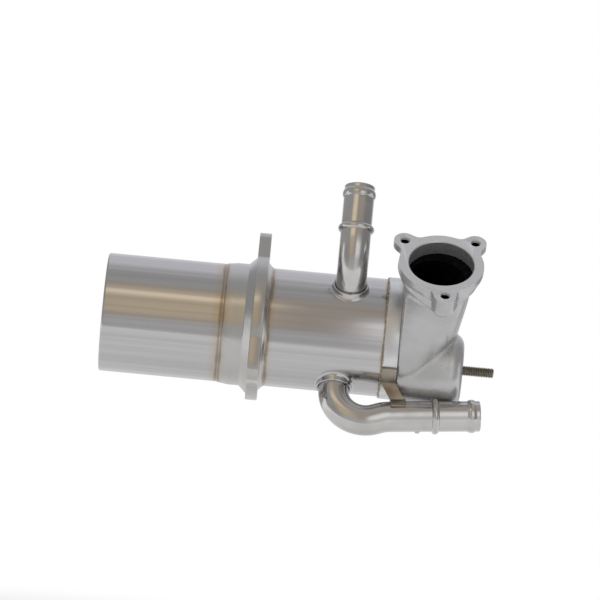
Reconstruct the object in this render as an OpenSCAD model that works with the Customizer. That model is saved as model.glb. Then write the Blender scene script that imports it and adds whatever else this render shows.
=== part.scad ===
// Exhaust gas recirculation cooler: a brazed stainless shell with a bundle of gas tubes,
// a bolt-on mounting flange, two coolant pipes and a cast outlet elbow.
// The origin is the centre of the flange's sealing face, on the shell's axis. +X runs along
// the shell to the elbow, +Z is up, and angles round the shell go from -Y (0) to +Z (90).

/* [Shell] */
// Outside diameter of the shell
shell_od = 70; // [64:1:78]
// Wall of the shell
shell_wall = 1.5; // [1:0.1:2.5]
// Shell length on the gas inlet side of the flange face
inlet_side = 88; // [70:1:120]
// Shell length on the outlet side of the flange face
outlet_side = 84; // [74:1:110]
// Rounding of the shell's open rim
rim_round = 1.2; // [0.4:0.1:1.4]
// Clearance all round a brazed sleeve
braze_gap = 0.05; // [0.02:0.01:0.2]

/* [Mounting flange] */
// Thickness of the flange plate
plate_t = 7; // [5:0.5:10]
// Width of the round part of the plate outside the shell
plate_rise = 9; // [6:0.5:14]
// Distance of the bolt holes outside the shell
bolt_out = 11; // [9:0.5:16]
// Diameter of a bolt hole
bolt_hole_d = 8.5; // [6.5:0.5:10]
// Diameter of the rounded end of a bolt ear
ear_d = 18.5; // [16:0.5:22]
// Slope of the flanks of a bolt ear
ear_flank = 40; // [25:1:55]
// Radius of the blend between ear and plate
ear_blend = 3; // [1:0.5:6]
// Wall of the hub sleeve round the shell
hub_wall = 1.1; // [0.8:0.1:2]
// Length of the straight hub sleeve
hub_length = 6.6; // [5:0.1:14]
// Length of the cone between hub sleeve and plate
hub_cone = 4.5; // [2:0.1:6]
// Rise of that cone
hub_cone_rise = 4.3; // [2:0.1:5]
// Length of the tapered brazing nose in front of the hub
nose_length = 6.3; // [3:0.1:10]
// Length of the fillet behind the plate
fillet_length = 2.9; // [1:0.1:4]
// Height of the fillet behind the plate
fillet_rise = 2.4; // [1:0.1:4]

/* [Tube bundle] */
// Outside diameter of a gas tube
gas_tube_od = 9.5; // [8:0.1:10.5]
// Wall of a gas tube
gas_tube_wall = 0.6; // [0.4:0.1:1]
// Distance between neighbouring gas tubes
tube_pitch = 12; // [11.2:0.1:13]
// How far a gas tube stands out of its header plate
tube_stand = 0.6; // [0.2:0.1:1.5]
// Thickness of the header plates
header_t = 2; // [1.5:0.1:3]
// Depth of the inlet header plate behind the shell's rim
inlet_recess = 10; // [6:1:16]
// Wall of the inlet header's skirt
skirt_wall = 1.5; // [1:0.1:2.5]
// Thickness of a baffle
baffle_t = 1; // [0.8:0.1:2]
// Height of the open segment that a baffle leaves for the coolant
baffle_window = 17; // [10:1:24]
// Number of baffles
baffle_count = 3; // [2:1:4]

/* [Outlet header] */
// Wall of the header ring round the shell
ring_wall = 1.1; // [0.8:0.1:2]
// Length of the ring that overlaps the shell
ring_overlap = 5.5; // [3:0.5:9]
// Height of the ring's rim behind the header plate
rim_height = 1.6; // [1:0.1:4]
// Width of the rim's joint face
rim_face = 3.1; // [2:0.1:4]

/* [Coolant pipes] */
// Outside diameter of the coolant pipes
pipe_od = 18; // [16:0.5:20]
// Wall of the coolant pipes
pipe_wall = 1.25; // [1:0.05:2]
// How much a bend's wall is thinner than the straight pipe's, on each side
bend_thinning = 0.01; // [0.01:0.01:0.1]
// Wall of the neck drawn out of the shell round each pipe
neck_wall = 2; // [1:0.1:3]
// Height of that neck above the shell
neck_height = 3; // [2:0.5:5]
// Spread of the neck's foot on the shell
neck_foot = 1.8; // [0.5:0.1:3]
// Distance of the hose stop bead from the pipe's tip
stop_bead_back = 26.5; // [22:0.5:30]
// Height of the hose stop bead
stop_bead_h = 1.65; // [0.8:0.05:2.5]
// Width of the hose stop bead
stop_bead_w = 4; // [3:0.1:6]
// Distance of the hose retaining bead from the pipe's tip
end_bead_back = 5; // [4:0.5:8]
// Height of the hose retaining bead
end_bead_h = 0.85; // [0.4:0.05:1.5]
// Width of the hose retaining bead
end_bead_w = 5; // [3:0.1:7]

/* [Upper nipple] */
// Distance of the upper nipple from the end of the header ring
upper_back = 31.5; // [28:0.1:42]
// Angle at which the upper nipple leaves the shell
upper_angle = 53; // [40:1:70]
// Straight length between the shell's neck and the bend
upper_free = 2; // [0.3:0.1:8]
// Inside radius of the upper nipple's bend
upper_bend_in = 19; // [15:1:30]
// Bend angle of the upper nipple
upper_bend = 55; // [30:1:70]
// Straight length after the bend
upper_run = 31.5; // [30:0.5:45]

/* [Lower pipe] */
// Distance of the lower pipe's port from the end of the header ring
lower_back = 35.9; // [33:0.1:44]
// Angle at which the lower pipe leaves the shell
lower_angle = -60; // [-75:1:-50]
// Least straight length between the shell's neck and the bend
lower_free = 0.3; // [0.2:0.1:5]
// Least clearance between the pipe's stop bead and the elbow
lower_clear = 1.5; // [0.5:0.1:4]
// Inside radius of the first bend
lower_bend_in = 9.5; // [8:0.5:16]
// Bend angle of the first bend, past the shell's own direction
lower_bend = 112; // [100:1:116]
// Straight length between the bends
lower_mid = 3; // [2:0.5:12]
// Inside radius of the return bend
lower_return_in = 15; // [11:1:30]
// Bend angle of the return bend
lower_return = 15.5; // [8:0.5:24]
// Straight length after the return bend
lower_run = 53; // [46:0.5:70]
// Distance of the hose index pip from the pipe's tip
pip_back = 37; // [34:0.5:42]
// Radius of the hose index pip
pip_r = 1.6; // [1:0.1:2.5]

/* [Pipe bracket] */
// Thickness of the bracket's sheet
sheet_t = 1.5; // [1:0.1:2.5]
// Width of the bracket
bracket_w = 9; // [6:0.5:12]
// Start of the bracket's tab on the ring, as an angle round the shell
tab_from = -28; // [-36:1:-20]
// End of the bracket's tab on the ring
tab_to = -46; // [-50:1:-42]
// Half of the arc that the bracket's saddle covers on the pipe
saddle_half = 38; // [25:1:50]
// Angle of the saddle's middle round the pipe
saddle_angle = 78; // [70:1:86]
// Clearance under the bracket's tab and saddle
bracket_gap = 0.1; // [0.05:0.05:0.3]

/* [Outlet elbow] */
// Step from the header ring down to the elbow's dome
dome_step = 0.6; // [0:0.1:1]
// Length of the elbow's dome ahead of the header ring
dome_ahead = 33; // [30:0.5:36]
// Wall of the elbow casting
elbow_wall = 3.5; // [2.5:0.1:5]
// Distance of the outlet's axis ahead of the header ring
outlet_ahead = 20; // [17:0.1:24]
// Angle of the outlet round the shell
outlet_angle = 48.7; // [30:0.1:70]
// Height of the outlet's face over the shell
outlet_rise = 27.3; // [23:0.1:36]
// Diameter of the outlet bore
bore_d = 38.5; // [34:0.5:40]
// Depth of the straight outlet bore
bore_depth = 9; // [6:0.5:10]
// Diameter of the flat collar round the bore
collar_d = 50; // [47:0.5:54]
// Diameter of the socket under the collar
socket_d = 45; // [44.5:0.5:47]
// Height of that socket up to the face
collar_h = 12; // [11:0.5:14]
// Outside diameter of the neck under the collar
neck_d = 37; // [34:0.5:42]
// How far the neck is drawn out to the front and to the back
neck_spread = 3.5; // [0:0.5:6]
// Thickness of the outlet's bolt ears
outlet_ear_t = 5.5; // [5:0.5:9]
// Diameter of the outlet's bolt ears
outlet_ear_d = 13; // [12:0.5:16]
// Distance of the outlet's bolt holes from the bore's centre
outlet_bolt_r = 28.5; // [28:0.1:31]
// Angle of the first outlet bolt hole in the face, on the shell's side
outlet_bolt_1 = 141.5; // [125:0.5:155]
// Angle of the second outlet bolt hole
outlet_bolt_2 = 47.5; // [30:0.5:60]
// Angle of the third outlet bolt hole, which goes through the boss
outlet_bolt_3 = 276.5; // [260:0.5:290]
// Radius of the blend between ear and collar
outlet_ear_blend = 5; // [2:0.5:8]
// Height of the full boss under the lowest ear
ear_boss_h = 11; // [9:0.5:14]
// Radius of the web's root, which runs from the socket to the lowest ear
ear_web_r = 14; // [12:0.5:14.5]
// Distance of the web's root from the bore's centre, towards the shell
ear_web_in = 7; // [5:0.5:9]
// How far the web's sides lean in towards the face
ear_web_lean = 4; // [2:0.5:5]
// Core diameter of a tapped hole
tapped_d = 5; // [4:0.1:6]

/* [Stud] */
// Diameter of the stud
stud_d = 6; // [5:0.5:8]
// Length of the stud outside the boss
stud_out = 18.5; // [12:0.5:26]
// Length of the stud inside the boss
stud_in = 10; // [8:0.5:10]
// Diameter of the stud's boss
boss_d = 42; // [36:0.5:44]
// Distance of the boss's end face ahead of the header ring
boss_ahead = 38.9; // [37:0.1:46]
// Easing of the boss's end edge
boss_ease = 8; // [4:0.5:10]
// Distance of the boss's axis inside the dome's outline
boss_inset = 20; // [18:0.5:23]
// Angle of the boss round the shell
boss_angle = -63.8; // [-75:0.1:-55]
// Distance of the stud's axis inside the dome's outline
stud_inset = 17.7; // [17:0.1:22]
// Angle of the stud round the shell
stud_angle = -56; // [-70:0.1:-45]
// Edge break of the stud's end
edge_break = 1; // [0.4:0.1:1.5]
// Clearance of the stud's root in its hole
stud_gap = 0.05; // [0.02:0.01:0.1]

/* [Hidden] */
$fn = 64;
hull_fn = 40;
over = 1;
web_fn = 16;
bend_lap = 0.3;
end_lap = 0.1;

shell_r = shell_od / 2;
shell_bore = shell_r - shell_wall;
hub_r = shell_r + braze_gap + hub_wall;
ring_r = shell_r + braze_gap + ring_wall;
pipe_r = pipe_od / 2;
neck_r = pipe_r + braze_gap + neck_wall;
plate_r = shell_r + plate_rise;
bolt_at = shell_r + bolt_out;

inlet_plate_x = inlet_recess - inlet_side;
ring_start = outlet_side - ring_overlap;
outlet_plate_x = outlet_side;
ring_end = outlet_plate_x + header_t + rim_height;
tube_start = inlet_plate_x - tube_stand;
tube_end = outlet_plate_x + header_t + tube_stand;
upper_x = ring_end - upper_back;
lower_x = ring_end - lower_back;
outlet_x = ring_end + outlet_ahead;
boss_end = ring_end + boss_ahead;

// Hexagonal layout of the tube bundle: one tube, a ring of six and a ring of twelve
tube_rings = 2;
tube_axial = [
    for (i = [-tube_rings : tube_rings])
        for (j = [-tube_rings : tube_rings])
            if (abs(i + j) <= tube_rings) tube_pitch * [i + j / 2, j * sin(60)]
];
tube_count = len(tube_axial);

baffle_span = outlet_plate_x - inlet_plate_x - header_t;
baffle_step = baffle_span / (baffle_count + 1);

dome_r = ring_r - dome_step;
outlet_reach = shell_r + outlet_rise;
outlet_bolt_angles = [outlet_bolt_1, outlet_bolt_2, outlet_bolt_3];
collar_base = outlet_reach - collar_h;
throat_r = neck_d / 2 - elbow_wall;
throat_cone = collar_h - bore_depth;
boss_r = boss_d / 2;
boss_root = ring_end + edge_break;
boss_reach = dome_r - boss_inset + boss_r;
boss_hollow = boss_end - boss_root - 2 * elbow_wall;
outlet_ear_r = outlet_ear_d / 2;
stud_r = stud_d / 2;

function lower_steps(free) = [
    [shell_wall + neck_height + free, lower_bend_in + pipe_r, lower_bend],
    [lower_mid, lower_return_in + pipe_r, -lower_return],
    [lower_run, 0, 0]
];
// The first straight is long enough to carry the run past the elbow's boss
lower_bare = route_state(lower_steps(0), 2);
boss_widest = boss_end - boss_ease;
lower_at_boss = lower_bare[1] + (boss_widest - lower_x - lower_bare[0]) / tan(lower_bare[2]);
lower_room = boss_reach + lower_clear + pipe_r + stop_bead_h - shell_bore - lower_at_boss;
lower_route = lower_steps(max(lower_free, lower_room));
upper_route = [
    [shell_wall + neck_height + upper_free, upper_bend_in + pipe_r, upper_bend],
    [upper_run, 0, 0]
];

// Point and heading of a route after its first n steps, as [across, along, angle]
function route_state(route, n) =
    n == 0 ? [0, 0, 0]
    : let (s = route_state(route, n - 1), step = route[n - 1],
           a = s[2], b = a + step[2], turn = step[2] < 0 ? -step[1] : step[1])
      [s[0] + step[0] * sin(a) + turn * (cos(a) - cos(b)),
       s[1] + step[0] * cos(a) + turn * (sin(b) - sin(a)),
       b];

function numbered(stem, count) =
    [for (i = [1 : count]) str(stem, i < 10 ? "0" : "", i)];

// Turns a shape that stands on Z so that it lies along the shell's axis
module along_shell(x = 0) {
    translate([x, 0, 0]) rotate([0, 90, 0]) children();
}

// Frame that stands on the shell's axis at x and points out at an angle round the shell
module round_shell(x, angle) {
    translate([x, 0, 0]) rotate([90 - angle, 0, 0]) children();
}

// Revolved profile whose points are [place along the shell, radius]
module turned(points) {
    rotate([0, 90, 0]) rotate_extrude()
        polygon([for (p = points) [p[1], p[0]]]);
}

// Round edge of the shell's open rim, as points of its profile
function rim_arc(x, r) = [
    for (a = [180 : -15 : 90])
        [x + rim_round + rim_round * cos(a), r - rim_round + rim_round * sin(a)]
];

module shell_neck(x, angle) {
    round_shell(x, angle) {
        cylinder(r = neck_r, h = shell_r + neck_height);
        translate([0, 0, shell_r - neck_wall])
            cylinder(r1 = neck_r + neck_foot, r2 = neck_r, h = neck_wall + neck_foot);
    }
}

module shell_port(x, angle) {
    round_shell(x, angle) cylinder(r = pipe_r + braze_gap, h = shell_od);
}

module shell() {
    color("silver") difference() {
        union() {
            turned(concat([[-inlet_side, 0]], rim_arc(-inlet_side, shell_r),
                          [[outlet_side, shell_r], [outlet_side, 0]]));
            shell_neck(upper_x, upper_angle);
            shell_neck(lower_x, lower_angle);
        }
        along_shell(-inlet_side - over)
            cylinder(r = shell_bore, h = inlet_side + outlet_side + 2 * over);
        shell_port(upper_x, upper_angle);
        shell_port(lower_x, lower_angle);
    }
}

// Outline of the flange plate: a disc with three bolt ears whose flanks run into it
module flange_outline() {
    ear_r = ear_d / 2;
    flank_from = [ear_r * cos(ear_flank), bolt_at + ear_r * sin(ear_flank)];
    flank_drop = plate_r / 2;
    flank_to = [flank_from[0] + flank_drop * tan(ear_flank), flank_from[1] - flank_drop];
    offset(r = -ear_blend) offset(r = ear_blend) union() {
        circle(r = plate_r);
        for (turn = [0 : 120 : 240]) rotate(turn) {
            translate([0, bolt_at]) circle(r = ear_r);
            polygon([flank_from, flank_to, [-flank_to[0], flank_to[1]],
                     [-flank_from[0], flank_from[1]]]);
        }
    }
}

module mounting_flange() {
    cone_x = -hub_cone;
    hub_x = cone_x - hub_length;
    nose_x = hub_x - nose_length;
    color("darkgray") difference() {
        union() {
            turned([[nose_x, 0], [nose_x, shell_r + 2 * braze_gap], [hub_x, hub_r], [cone_x, hub_r],
                    [0, hub_r + hub_cone_rise], [plate_t, shell_r + fillet_rise],
                    [plate_t + fillet_length, shell_r + 2 * braze_gap], [plate_t + fillet_length, 0]]);
            rotate([90, 0, 90]) linear_extrude(plate_t) flange_outline();
        }
        along_shell(nose_x - over)
            cylinder(r = shell_r + braze_gap, h = plate_t + fillet_length - nose_x + 2 * over);
        for (turn = [90 : 120 : 330])
            round_shell(-over, turn) translate([0, 0, bolt_at])
                along_shell() cylinder(d = bolt_hole_d, h = plate_t + 2 * over);
    }
}

// Holes for the gas tubes through a plate that starts at x
module tube_holes(x, length) {
    for (p = tube_axial)
        translate([x, p[0], p[1]])
            along_shell() cylinder(r = gas_tube_od / 2 + braze_gap, h = length);
}

module inlet_header() {
    skirt_r = shell_bore - braze_gap;
    skirt_x = rim_round - inlet_side;
    color("dimgray") difference() {
        turned([[skirt_x, skirt_r - skirt_wall], [skirt_x, skirt_r], [inlet_plate_x + header_t, skirt_r],
                [inlet_plate_x + header_t, 0], [inlet_plate_x, 0],
                [inlet_plate_x, skirt_r - skirt_wall]]);
        tube_holes(inlet_plate_x - over, header_t + 2 * over);
    }
}

module outlet_header() {
    socket_r = shell_r + braze_gap;
    plate_end = outlet_plate_x + header_t;
    color("gainsboro") difference() {
        turned([[ring_start, socket_r], [ring_start, ring_r], [ring_end, ring_r],
                [ring_end, ring_r - rim_face], [plate_end, ring_r - rim_face], [plate_end, 0],
                [outlet_plate_x, 0], [outlet_plate_x, socket_r]]);
        tube_holes(outlet_plate_x - over, header_t + 2 * over);
    }
}

module gas_tube(i) {
    p = tube_axial[i];
    color("lightgray") translate([tube_start, p[0], p[1]]) along_shell()
        linear_extrude(tube_end - tube_start) difference() {
            circle(d = gas_tube_od);
            circle(d = gas_tube_od - 2 * gas_tube_wall);
        }
}

// Segmental baffle: a disc round the tubes with a window on alternate sides
module baffle(i) {
    disc_r = shell_bore - braze_gap;
    x = inlet_plate_x + header_t + (i + 1) * baffle_step - baffle_t / 2;
    side = i % 2 == 0 ? 0 : 180;
    color("lightsteelblue") difference() {
        along_shell(x) cylinder(r = disc_r, h = baffle_t);
        rotate([side, 0, 0])
            translate([x - over, -shell_od, disc_r - baffle_window])
                cube([baffle_t + 2 * over, 2 * shell_od, shell_od]);
        tube_holes(x - over, baffle_t + 2 * over);
    }
}

// Hollow pipe along a route of [straight length, bend radius, bend angle], bending towards +X.
// Each straight laps a little way over the thinned ends of the bends beside it.
module pipe_along(route, i = 0) {
    step = route[i];
    lap_before = i > 0 ? bend_lap : 0;
    lap_after = step[1] > 0 ? bend_lap : 0;
    translate([0, 0, -lap_before])
        linear_extrude(lap_before + step[0] + lap_after) pipe_section();
    if (step[1] > 0) {
        side = step[2] < 0 ? 180 : 0;
        turn = abs(step[2]);
        translate([0, 0, step[0]]) rotate(side) {
            multmatrix([[-1, 0, 0, step[1]], [0, 0, 1, 0], [0, 1, 0, 0]])
                rotate_extrude(angle = turn) translate([step[1], 0]) pipe_section(bend_thinning);
            translate([step[1] * (1 - cos(turn)), 0, step[1] * sin(turn)])
                rotate([0, turn, 0]) rotate(-side) pipe_along(route, i + 1);
        }
    }
}

module pipe_section(thinning = 0) {
    difference() {
        circle(r = pipe_r - thinning);
        circle(r = pipe_r - pipe_wall + thinning);
    }
}

// Ring rolled up from the pipe's wall, with a round crown of height h and width w
module bead(h, w) {
    crown_r = (w * w / 4 + h * h) / (2 * h);
    root = pipe_r - pipe_wall / 2;
    rotate_extrude() intersection() {
        translate([pipe_r + h - crown_r, 0]) circle(r = crown_r);
        translate([root, -w]) square(2 * w);
    }
}

module hose_beads(run) {
    translate([0, 0, run - stop_bead_back]) bead(stop_bead_h, stop_bead_w);
    translate([0, 0, run - end_bead_back]) bead(end_bead_h, end_bead_w);
}

// Frame at the start of the last straight of a route, with Z along the pipe
module at_run(route) {
    state = route_state(route, len(route) - 1);
    translate([state[0], 0, state[1]]) rotate([0, state[2], 0]) children();
}

module upper_nipple() {
    color("tan") round_shell(upper_x, upper_angle) translate([0, 0, shell_bore]) rotate(90) {
        pipe_along(upper_route);
        at_run(upper_route) hose_beads(upper_run);
    }
}

module lower_frame() {
    round_shell(lower_x, lower_angle) translate([0, 0, shell_bore]) children();
}

module lower_pipe() {
    // Turn about the pipe that brings the pip to its underside
    pip_turn = 90 + lower_angle;
    color("tan") lower_frame() {
        pipe_along(lower_route);
        at_run(lower_route) {
            hose_beads(lower_run);
            rotate(180 + pip_turn) translate([pipe_r - pipe_wall / 2, 0, lower_run - pip_back])
                rotate([0, 90, 0]) cylinder(r1 = pip_r, r2 = pip_r / 2, h = pip_r);
        }
    }
}

// Strip of sheet that follows an arc from one angle to another
module arc_strip(r, from, to) {
    rotate(from) rotate_extrude(angle = to - from) translate([r, 0]) square([sheet_t, bracket_w]);
}

// Folded strap from the header ring to the lower pipe: a tab, a web and a saddle
module pipe_bracket() {
    tab_x = ring_end - bracket_w;
    tab_r = ring_r + bracket_gap;
    saddle_r = pipe_r + bracket_gap;
    saddle_turn = 180 + lower_angle - saddle_angle;
    web_t = sheet_t - 2 * bracket_gap;
    web_top = tab_r + sheet_t / 2;
    web_angle = tab_to + atan(sheet_t / web_top);
    color("rosybrown") {
        along_shell(tab_x) arc_strip(tab_r, -90 - tab_from, -90 - tab_to);
        lower_frame() at_run(lower_route) translate([0, 0, bend_lap])
            arc_strip(saddle_r, saddle_turn - saddle_half, saddle_turn + saddle_half);
        hull() {
            round_shell(tab_x, web_angle) translate([0, 0, web_top])
                along_shell() cylinder(d = web_t, h = bracket_w, $fn = web_fn);
            lower_frame() at_run(lower_route) rotate(saddle_turn)
                translate([saddle_r + sheet_t / 2, 0, bend_lap])
                    cylinder(d = web_t, h = bracket_w, $fn = web_fn);
        }
    }
}

// Frame at the outlet, with Z out of its face
module at_outlet(reach) {
    round_shell(outlet_x, outlet_angle) translate([0, 0, reach]) children();
}

module at_outlet_bolts(reach) {
    at_outlet(reach)
        for (a = outlet_bolt_angles)
            rotate(a) translate([outlet_bolt_r, 0, 0]) children();
}

// Front half of a slightly flat ball whose cut side lies on the header ring
module half_dome(r, ahead) {
    along_shell(ring_end) intersection() {
        scale([1, 1, ahead / r]) sphere(r = r, $fn = hull_fn);
        translate([-2 * r, -2 * r, 0]) cube(4 * r);
    }
}

// Tapering bend from the half dome to a rounded neck at the outlet
module bend_form(r, ahead, end_r, spread, reach) {
    hull() {
        half_dome(r, ahead);
        at_outlet(reach)
            for (side = [-1, 1])
                translate([0, side * spread, 0]) cylinder(r = end_r, h = end_lap, $fn = hull_fn);
    }
}

module outlet_outline() {
    offset(r = -outlet_ear_blend) offset(r = outlet_ear_blend) {
        circle(d = collar_d);
        for (a = outlet_bolt_angles)
            rotate(a) translate([outlet_bolt_r, 0]) circle(d = outlet_ear_d);
    }
}

// Web that fills the corner between the socket and the lowest ear on the shell's side
module ear_web() {
    web_h = ear_boss_h - outlet_ear_t / 2 - edge_break;
    tip_r = outlet_ear_r - edge_break;
    translate([0, 0, edge_break]) hull() {
        translate([-ear_web_in, 0, 0])
            cylinder(r1 = ear_web_r, r2 = ear_web_r - ear_web_lean, h = web_h, $fn = hull_fn);
        rotate(outlet_bolt_3) translate([outlet_bolt_r, 0, 0])
            cylinder(r1 = tip_r, r2 = tip_r - ear_web_lean, h = web_h, $fn = hull_fn);
    }
}

// Frame on the boss's axis at x, with Z along the shell
module boss_axis(x) {
    round_shell(x, boss_angle) translate([0, 0, dome_r - boss_inset]) along_shell() children();
}

// Round boss whose end is eased by two cones
module boss_form(r, length, ease) {
    mid = ease * (1 - sin(45));
    rotate_extrude()
        polygon([[0, 0], [r, 0], [r, length - ease], [r - mid, length - mid], [r - ease, length], [0, length]]);
}

// Frame on the stud's axis at x, with Z along the shell
module stud_axis(x) {
    round_shell(x, stud_angle) translate([0, 0, dome_r - stud_inset]) along_shell() children();
}

module outlet_elbow() {
    color("lightgray") difference() {
        union() {
            bend_form(dome_r, dome_ahead, neck_d / 2, neck_spread, collar_base);
            at_outlet(collar_base) cylinder(d = socket_d, h = collar_h);
            at_outlet(outlet_reach - outlet_ear_t) linear_extrude(outlet_ear_t) outlet_outline();
            at_outlet(outlet_reach - ear_boss_h) rotate(outlet_bolt_angles[2])
                translate([outlet_bolt_r, 0, 0]) cylinder(d = outlet_ear_d, h = ear_boss_h);
            at_outlet(outlet_reach - ear_boss_h) ear_web();
            boss_axis(boss_root) boss_form(boss_r, boss_end - boss_root, boss_ease);
        }
        difference() {
            union() {
                bend_form(dome_r - elbow_wall, dome_ahead - elbow_wall, throat_r - end_lap, 0, collar_base);
                boss_axis(boss_root) boss_form(boss_r - elbow_wall, boss_hollow, boss_ease);
            }
            stud_axis(boss_end - stud_in - elbow_wall) cylinder(r = stud_d, h = stud_in);
        }
        along_shell(ring_end - over) cylinder(r = dome_r - elbow_wall, h = over + end_lap);
        at_outlet(collar_base) rotate_extrude()
            polygon([[0, 0], [throat_r, 0], [bore_d / 2, throat_cone],
                     [bore_d / 2, collar_h + over], [0, collar_h + over]]);
        at_outlet_bolts(outlet_reach - ear_boss_h - over)
            cylinder(d = tapped_d, h = ear_boss_h + 2 * over);
        stud_axis(boss_end - stud_in) cylinder(d = tapped_d, h = stud_in + over);
    }
}

module elbow_stud() {
    root_r = tapped_d / 2 - stud_gap;
    tip_r = stud_r - edge_break / 2;
    tip = stud_in + stud_out;
    color("darkolivegreen") stud_axis(boss_end - stud_in) rotate_extrude()
        polygon([[0, 0], [root_r, 0], [root_r, stud_in], [stud_r, stud_in],
                 [stud_r, tip - edge_break], [tip_r, tip], [0, tip]]);
}

shell();
mounting_flange();
inlet_header();
outlet_header();
for (i = [0 : tube_count - 1])
    gas_tube(i);
for (i = [0 : baffle_count - 1])
    baffle(i);
outlet_elbow();
elbow_stud();
upper_nipple();
lower_pipe();
pipe_bracket();
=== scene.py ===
import math

import bmesh
import bpy
import numpy as np
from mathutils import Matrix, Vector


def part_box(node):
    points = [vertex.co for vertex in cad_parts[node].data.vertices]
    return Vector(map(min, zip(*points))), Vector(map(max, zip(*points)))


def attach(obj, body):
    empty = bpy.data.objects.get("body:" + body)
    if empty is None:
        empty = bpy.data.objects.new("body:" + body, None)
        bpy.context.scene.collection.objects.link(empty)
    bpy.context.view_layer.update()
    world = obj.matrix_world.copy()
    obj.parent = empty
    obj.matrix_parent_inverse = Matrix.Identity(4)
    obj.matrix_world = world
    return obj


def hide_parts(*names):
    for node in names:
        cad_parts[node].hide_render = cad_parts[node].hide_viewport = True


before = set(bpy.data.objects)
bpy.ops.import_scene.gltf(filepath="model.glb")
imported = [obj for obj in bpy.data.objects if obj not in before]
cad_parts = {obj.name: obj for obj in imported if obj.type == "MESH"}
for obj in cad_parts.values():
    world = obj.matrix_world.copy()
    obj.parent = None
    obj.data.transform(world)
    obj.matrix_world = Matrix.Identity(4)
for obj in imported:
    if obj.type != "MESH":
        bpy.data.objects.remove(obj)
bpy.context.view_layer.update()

import openvdb
from mathutils import Matrix, Vector


# Camera: a long lens on the side that the gas outlet faces, square to the shell's axis.
# It is turned about its own line of sight, so that the shell drops a little to the right.
MM = 0.001
view_centre = Vector((27.1, 0.0, 17.7)) * MM
view_width = 355.9 * MM
view_distance = 3.0
view_roll = math.radians(5.4)

camera = bpy.data.objects.new("camera", bpy.data.cameras.new("camera"))
bpy.context.scene.collection.objects.link(camera)
camera.data.angle = 2 * math.atan(view_width / 2 / view_distance)
camera.data.clip_end = 3 * view_distance
view_right = Vector((math.cos(view_roll), 0.0, math.sin(view_roll)))
view_up = Vector((-math.sin(view_roll), 0.0, math.cos(view_roll)))
view_back = Vector((0.0, -1.0, 0.0))
camera.matrix_world = Matrix.Translation(view_centre + view_distance * view_back) @ Matrix(
    (view_right, view_up, view_back)).transposed().to_4x4()
bpy.context.scene.camera = camera


# Shell: a drawn stainless tube that holds the coolant round the gas tubes.
# Its open rim is rounded, and two necks are drawn out of its wall for the coolant pipes.
# It is brushed lengthwise, and the brazing has tinted it straw and brown beside the flange.
def soft_corners(corners, steps=5):
    """Points of a closed outline whose corners (a, b, radius) are rounded by arcs."""
    points = []
    for i, (a, b, radius) in enumerate(corners):
        here = Vector((a, b))
        if radius == 0:
            points.append(here)
            continue
        to_last = (Vector(corners[i - 1][:2]) - here).normalized()
        to_next = (Vector(corners[(i + 1) % len(corners)][:2]) - here).normalized()
        half = to_last.angle(to_next) / 2
        reach = radius / math.tan(half)
        middle = here + (to_last + to_next).normalized() * radius / math.sin(half)
        first = here + to_last * reach - middle
        last = here + to_next * reach - middle
        begin = math.atan2(first.y, first.x)
        turn = (math.atan2(last.y, last.x) - begin + math.pi) % math.tau - math.pi
        for k in range(steps + 1):
            angle = begin + turn * k / steps
            points.append(middle + radius * Vector((math.cos(angle), math.sin(angle))))
    return points


def new_object(name, mesh):
    piece = bpy.data.objects.new(name, mesh)
    bpy.context.scene.collection.objects.link(piece)
    return piece


def smooth(piece, crease=35):
    """Outward normals, and smooth shading that breaks at edges sharper than the crease angle."""
    work = bmesh.new()
    work.from_mesh(piece.data)
    bmesh.ops.remove_doubles(work, verts=work.verts, dist=0.002 * MM)
    bmesh.ops.recalc_face_normals(work, faces=work.faces)
    work.to_mesh(piece.data)
    work.free()
    piece.data.shade_smooth()
    piece.data.set_sharp_from_angle(angle=math.radians(crease))
    return piece


def solid(name, points, faces, crease=35):
    """Object from points in mm and its faces."""
    mesh = bpy.data.meshes.new(name)
    mesh.from_pydata((np.asarray(points, float) * MM).tolist(), [], faces)
    return smooth(new_object(name, mesh), crease)


def skin(name, rows, crease=35):
    """Closed ring-shaped skin over rows of points in mm: it joins up along and across the rows."""
    grid = np.asarray(rows, float)
    m, n = grid.shape[:2]
    i, j = np.meshgrid(np.arange(m), np.arange(n), indexing="ij")
    down, over = (i + 1) % m, (j + 1) % n
    faces = np.stack([i * n + j, down * n + j, down * n + over, i * n + over], axis=-1).reshape(-1, 4)
    return solid(name, grid.reshape(-1, 3), faces.tolist(), crease)


def turned(name, outline, steps=192, crease=35):
    """Piece turned round the shell's axis from a closed outline of (place along X, radius) in mm."""
    turn = np.linspace(0, math.tau, steps, endpoint=False)
    rows = [np.stack([np.full(steps, x), -r * np.cos(turn), r * np.sin(turn)], axis=-1) for x, r in outline]
    return skin(name, rows, crease)


def joined(name, pieces, crease=None):
    """One object from several, which are used up, with its edges creased anew where that is asked."""
    work = bmesh.new()
    for piece in pieces:
        work.from_mesh(piece.data)
        bpy.data.objects.remove(piece)
    mesh = bpy.data.meshes.new(name)
    work.to_mesh(mesh)
    work.free()
    if crease is not None:
        mesh.shade_smooth()
        mesh.set_sharp_from_angle(angle=math.radians(crease))
    return new_object(name, mesh)


def out_from_axis(angle):
    """Unit vectors out from the shell's axis at an angle in degrees from -Y to +Z, and round it."""
    a = math.radians(angle)
    return np.array((0.0, -math.cos(a), math.sin(a))), np.array((0.0, math.sin(a), math.cos(a)))


shell_low, shell_high = (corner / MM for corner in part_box("shell"))
shell_r = shell_high.y
shell_wall = 1.5
rim_round = 1.2
pipe_r = 9.0
pipe_gap = 0.05
neck_wall = 1.6
neck_height = 2.5
neck_fillet = 1.5
neck_edge = 0.7
neck_sink = 0.7
upper_x, upper_angle = 56.1, 53.0
lower_x, lower_angle = 51.7, -60.0


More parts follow.
